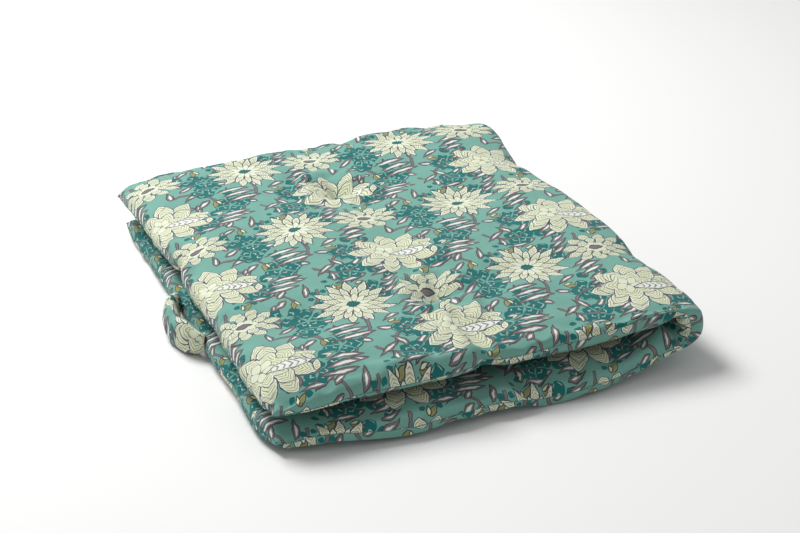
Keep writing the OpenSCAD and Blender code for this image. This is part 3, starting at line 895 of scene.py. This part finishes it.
lower_cover = half_cover("cover_lower", 0, mid_row)
upper_cover = half_cover("cover_upper", mid_row, rows - 1)


def bend_lower(piece):
    """Bake the piece's place into its points, where it lies in the lower half and the fold."""
    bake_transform(piece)


def bend_upper(piece):
    """Bake the piece's place into its points, where it lies in the fold and the upper half."""
    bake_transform(piece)


bend_lower(lower_cover)
bend_upper(upper_cover)
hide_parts("outer_panel_lower", "inner_panel_lower", "outer_panel_fold", "inner_panel_fold")
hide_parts("outer_panel_upper", "inner_panel_upper")

# ---- Batting ----------------------------------------------------------------------------------
# Three stacked sheets of carded cotton fill the cover and run on round the fold, held by the
# tufts. They cross the panels in places, most of all in the fold.
def make_fibre(name, scale, detail, distortion, dark, light, roughness):
    """Cotton fibre that varies between two tones; also gives its fibre pattern."""
    material = bpy.data.materials.new(name)
    material.use_nodes = True
    tree = material.node_tree
    shader = tree.nodes["Principled BSDF"]
    strands = add_node(tree, "ShaderNodeTexNoise")
    strands.inputs["Scale"].default_value = scale
    strands.inputs["Detail"].default_value = detail
    strands.inputs["Distortion"].default_value = distortion
    tint = blend_colour(tree, strands.outputs["Fac"], (*dark, 1.0), (*light, 1.0))
    feed(tree, tint, shader.inputs["Base Color"])
    shader.inputs["Roughness"].default_value = roughness
    return material, strands


batting, fibres = make_fibre("carded cotton", 300.0, 6.0, 1.5, (0.70, 0.66, 0.56), (0.88, 0.86, 0.79), 0.95)
batting_tree = batting.node_tree
batting_shader = batting_tree.nodes["Principled BSDF"]
fluff = add_node(batting_tree, "ShaderNodeBump")
fluff.inputs["Distance"].default_value = 0.002
feed(batting_tree, fibres.outputs["Fac"], fluff.inputs["Height"])
feed(batting_tree, fluff.outputs[0], batting_shader.inputs["Normal"])

SHEETS = {"outer": (0.62, 0.79), "middle": (0.40, 0.60), "inner": (0.19, 0.37)}
SHEET_INSET = 5


def add_batting(name, half, first_row, last_row, low_share, high_share, bend):
    """A closed sheet between the panels, from one share of the way across to another."""
    row_line = list(range(first_row, last_row + 1))
    column_line = list(range(SHEET_INSET, columns - SHEET_INSET))
    corner = np.ix_(row_line, column_line)
    gap = outer_grid[corner] - inner_grid[corner]
    near = inner_grid[corner] + gap * low_share
    far = inner_grid[corner] + gap * high_share
    high, wide = len(row_line), len(column_line)
    points = np.concatenate([near.reshape(-1, 3), far.reshape(-1, 3)])
    top = high * wide
    faces = []
    for i in range(high - 1):
        for j in range(wide - 1):
            a = i * wide + j
            faces.append((a, a + wide, a + wide + 1, a + 1))
            faces.append((top + a, top + a + 1, top + a + wide + 1, top + a + wide))
    rim = [j for j in range(wide)] + [i * wide + wide - 1 for i in range(1, high)]
    rim += [(high - 1) * wide + j for j in range(wide - 2, -1, -1)]
    rim += [i * wide for i in range(high - 2, 0, -1)]
    for a, b in zip(rim, rim[1:] + rim[:1]):
        faces.append((a, b, top + b, top + a))
    piece = add_piece(f"batting_{name}_sheet_{half}", points, faces, batting)
    bend(piece)
    nodes = [f"batting_{name}_{half}"]
    if half == "lower":
        nodes.append(f"batting_{name}_fold")
    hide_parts(*nodes)


for name, (low_share, high_share) in SHEETS.items():
    add_batting(name, "lower", SHEET_INSET, mid_row, low_share, high_share, bend_lower)
    add_batting(name, "upper", mid_row, rows - 1 - SHEET_INSET, low_share, high_share, bend_upper)

# ---- Edge seam --------------------------------------------------------------------------------
# The two panels are sewn face to face and turned, so the edge is one line of stitches that lies
# in a shallow groove between them. The thread is spun cotton dyed to match the cloth.
thread, _ = make_fibre("sewing thread", 900.0, 2.0, 0.0, (0.030, 0.115, 0.100), (0.120, 0.260, 0.225), 0.75)
STITCH_LENGTH = 4.0 * MM
STITCH_RADIUS = 0.55 * MM


def spline_through(points, spacing):
    """Points at even spacing along the smooth curve that the given points pull."""
    points = np.asarray(points)
    padded = np.concatenate([2 * points[:1] - points[1:2], points, 2 * points[-1:] - points[-2:-1]])
    t = np.linspace(0.0, 1.0, 8, endpoint=False)[:, None]
    runs = []
    for a, b, c, d in zip(padded, padded[1:], padded[2:], padded[3:]):
        runs.append(((1 - t) ** 3 * a + (3 * t ** 3 - 6 * t ** 2 + 4) * b
                     + (-3 * t ** 3 + 3 * t ** 2 + 3 * t + 1) * c + t ** 3 * d) / 6)
    line = np.concatenate(runs + [points[-1:]])
    length = np.concatenate([[0.0], np.cumsum(np.linalg.norm(np.diff(line, axis=0), axis=1))])
    even = np.linspace(0.0, length[-1], max(2, round(length[-1] / spacing)))
    return np.stack([np.interp(even, length, line[:, k]) for k in range(3)], axis=-1)


def tube(line, radii, sides, closed=False):
    """A round tube along a line, with a radius at each of its points."""
    count = len(line)
    ahead = np.roll(line, -1, axis=0) - np.roll(line, 1, axis=0)
    if not closed:
        ahead[0], ahead[-1] = line[1] - line[0], line[-1] - line[-2]
    ahead /= np.linalg.norm(ahead, axis=1, keepdims=True)
    helper = np.where(np.abs(ahead[:, 2:3]) < 0.9, np.array([[0.0, 0.0, 1.0]]), np.array([[1.0, 0.0, 0.0]]))
    side = np.cross(ahead, helper)
    side /= np.linalg.norm(side, axis=1, keepdims=True)
    up = np.cross(side, ahead)
    turns = np.arange(sides) * 2 * math.pi / sides
    ring = np.cos(turns)[None, :, None] * side[:, None, :] + np.sin(turns)[None, :, None] * up[:, None, :]
    points = (line[:, None, :] + ring * np.asarray(radii)[:, None, None]).reshape(-1, 3)
    faces = []
    for i in range(count if closed else count - 1):
        a, b = i * sides, ((i + 1) % count) * sides
        faces += [(a + j, b + j, b + (j + 1) % sides, a + (j + 1) % sides) for j in range(sides)]
    if not closed:
        faces += [tuple(range(sides)), tuple(range((count - 1) * sides, count * sides))[::-1]]
    return points, faces


def joined(parts):
    """Several lots of points and faces as one."""
    points, faces, start = [], [], 0
    for part_points, part_faces in parts:
        points.append(part_points)
        faces += [tuple(i + start for i in face) for face in part_faces]
        start += len(part_points)
    return np.concatenate(points), faces


def add_seam(name, edge_points, bend, *nodes):
    line = spline_through(edge_points, STITCH_LENGTH / 5)
    place = np.arange(len(line)) % 5
    radii = STITCH_RADIUS * np.array([0.45, 0.90, 1.0, 1.0, 0.90])[place]
    points, faces = tube(line, radii, 6)
    piece = add_piece(name, points, faces, thread)
    bend(piece)
    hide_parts(*nodes)


lower_edge = np.concatenate([outer_grid[mid_row:0:-1, 0], outer_grid[0, :], outer_grid[1:mid_row + 1, -1]])
upper_edge = np.concatenate([outer_grid[mid_row:-1, 0], outer_grid[-1, :], outer_grid[-2:mid_row - 1:-1, -1]])
add_seam("edge_stitches_lower", lower_edge, bend_lower, "edge_seam_lower", "edge_seam_fold")
add_seam("edge_stitches_upper", upper_edge, bend_upper, "edge_seam_upper")

# ---- Tufting twine ----------------------------------------------------------------------------
# Six tufts of waxed cotton twine pass right through cover and batting and are drawn tight, so
# each shows as one short double stitch sunk in its well, on the outside and on the inside.
twine, _ = make_fibre("tufting twine", 700.0, 3.0, 0.0, (0.070, 0.200, 0.175), (0.200, 0.380, 0.330), 0.6)
PLY_RADIUS = 0.65 * MM
STITCH_REACH = 4.5 * MM


def tuft_loop(u, v):
    """Two twisted plies that go round through the mattress at one tuft."""
    row = int(np.argmin(np.abs(u_line - u)))
    column = int(np.argmin(np.abs(v_line - cover_w / 2 - v)))
    out_point, in_point = outer_grid[row, column], inner_grid[row, column]
    through = (out_point - in_point) / np.linalg.norm(out_point - in_point)
    reach = np.array([0.0, STITCH_REACH, 0.0])
    proud = through * PLY_RADIUS * 1.4
    corners = [in_point - reach, out_point - reach * 0.9, out_point + proud - reach * 0.5,
               out_point + proud + reach * 0.5, out_point + reach * 0.9, in_point + reach,
               in_point - proud + reach * 0.5, in_point - proud - reach * 0.5, in_point - reach]
    line = spline_through(corners, 0.8 * MM)
    twist = np.arange(len(line)) * 0.55
    parts = []
    for ply in (0.0, math.pi):
        swing = np.stack([np.cos(twist + ply), 0 * twist, 0 * twist], axis=-1)
        swing += np.sin(twist + ply)[:, None] * through * 0.6
        parts.append(tube(line + swing * PLY_RADIUS, np.full(len(line), PLY_RADIUS), 8))
    return joined(parts)


TUFT_PAIRS = (("lower", "lower_half", 0), ("fold", "fold_section", 2), ("upper", "upper_half", 4))
for name, body, number in TUFT_PAIRS:
    points, faces = joined([tuft_loop(*TUFTS[number]), tuft_loop(*TUFTS[number + 1])])
    loops = add_piece(f"tuft_stitches_{name}", points, faces, twine)
    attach(loops, body)
    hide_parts(f"tuft_twine_{name}")

# ---- Carry strap ------------------------------------------------------------------------------
# A short handle of the same printed cotton, cut the other way of the cloth, folded and lightly
# stuffed. Its ends are gathered and sewn into the end seam of the lower half.
strap_low, strap_high = (Vector(corner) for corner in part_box("carry_handle"))
tab_low, tab_high = (Vector(corner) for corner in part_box("handle_anchor_tabs"))
STRAP_AROUND, STRAP_ALONG = 28, 72
STRAP_WIDE, STRAP_THICK = 50 * MM, 22 * MM
STRAP_FORWARD, STRAP_SUNK = 22 * MM, 16 * MM
strap_half = (strap_high.y - strap_low.y) / 2 - 0.004
strap_reach = strap_high.x - strap_low.x - STRAP_THICK / 2
strap_mid_z = (strap_low.z + strap_high.z) / 2


def strap_points():
    along = np.linspace(-1.0, 1.0, STRAP_ALONG)
    turn = np.linspace(0.0, 2 * math.pi, STRAP_AROUND, endpoint=False)
    A, T = np.meshgrid(along, turn, indexing="ij")
    bow = 1 - np.abs(A) ** 2.6
    centre_x = strap_high.x + STRAP_SUNK - (strap_reach + STRAP_SUNK) * bow
    centre_y = strap_half * A * (1 - 0.10 * bow) - STRAP_FORWARD
    gather = np.clip((1 - np.abs(A)) / 0.34, 0, 1) ** 0.7
    wide = (0.40 + 0.60 * gather) * STRAP_WIDE / 2
    thick = (0.35 + 0.65 * gather) * STRAP_THICK / 2
    wrinkle = 1 + 0.22 * soft_noise(A * 5.0, np.cos(T) * 2.0 + np.sin(T) * 0.7, 3.3, 2)
    across = wide * np.sign(np.cos(T)) * np.abs(np.cos(T)) ** 0.9
    proud = thick * np.sin(T) * wrinkle
    slope = np.gradient(centre_x[:, 0], centre_y[:, 0])[:, None]
    size = np.sqrt(1 + slope ** 2)
    sag = -0.004 * bow
    x = centre_x - proud / size
    y = centre_y + proud * slope / size
    z = np.maximum(strap_mid_z + sag + across + 0.0015 * np.sin(A * 9.0), 0.0008)
    return np.stack([x, y, z], axis=-1)


loft = strap_points()
run_length = np.concatenate([[0.0], np.cumsum(np.linalg.norm(np.diff(loft.mean(axis=1), axis=0), axis=1))])
turn_length = np.linspace(0.0, 2.2 * STRAP_WIDE, STRAP_AROUND + 1)
strap_faces = []
strap_uvs = []
for i in range(STRAP_ALONG - 1):
    for j in range(STRAP_AROUND):
        a, b = i * STRAP_AROUND + j, i * STRAP_AROUND + (j + 1) % STRAP_AROUND
        strap_faces.append((a, a + STRAP_AROUND, b + STRAP_AROUND, b))
        strap_uvs += [(run_length[i], turn_length[j]), (run_length[i + 1], turn_length[j]),
                      (run_length[i + 1], turn_length[j + 1]), (run_length[i], turn_length[j + 1])]
for start, flip in ((0, False), ((STRAP_ALONG - 1) * STRAP_AROUND, True)):
    cap = tuple(range(start, start + STRAP_AROUND))
    strap_faces.append(cap[::-1] if flip else cap)
    strap_uvs += [(0.0, 0.0)] * STRAP_AROUND
strap = add_piece("strap_band", loft.reshape(-1, 3), strap_faces, strap_cotton)
strap_layer = strap.data.uv_layers.new(name="cloth")
strap_layer.data.foreach_set("uv", np.array(strap_uvs, dtype=np.float32).ravel())
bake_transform(strap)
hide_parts("carry_handle")

tab_parts = []
for side in (-1, 1):
    y_far = side * strap_half - STRAP_FORWARD
    y_near = side * (strap_half - 0.020) - STRAP_FORWARD
    middle_y = (y_far + y_near) / 2
    line = np.array([[tab_low.x, middle_y, tab_high.z - MM], [tab_high.x, middle_y, tab_high.z - MM]])
    line = spline_through(line, 2 * MM)
    points, faces = tube(line, np.full(len(line), 1.0), 16)
    across = points - np.repeat(line, 16, axis=0)
    half_size = np.array([0.0, 9 * MM, 1.2 * MM])
    points = np.repeat(line, 16, axis=0) + across * half_size
    tab_parts.append((points, faces))
points, faces = joined(tab_parts)
tabs = add_piece("strap_ends", points, faces, strap_cotton, points[:, :2])
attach(tabs, "lower_half")
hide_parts("handle_anchor_tabs")
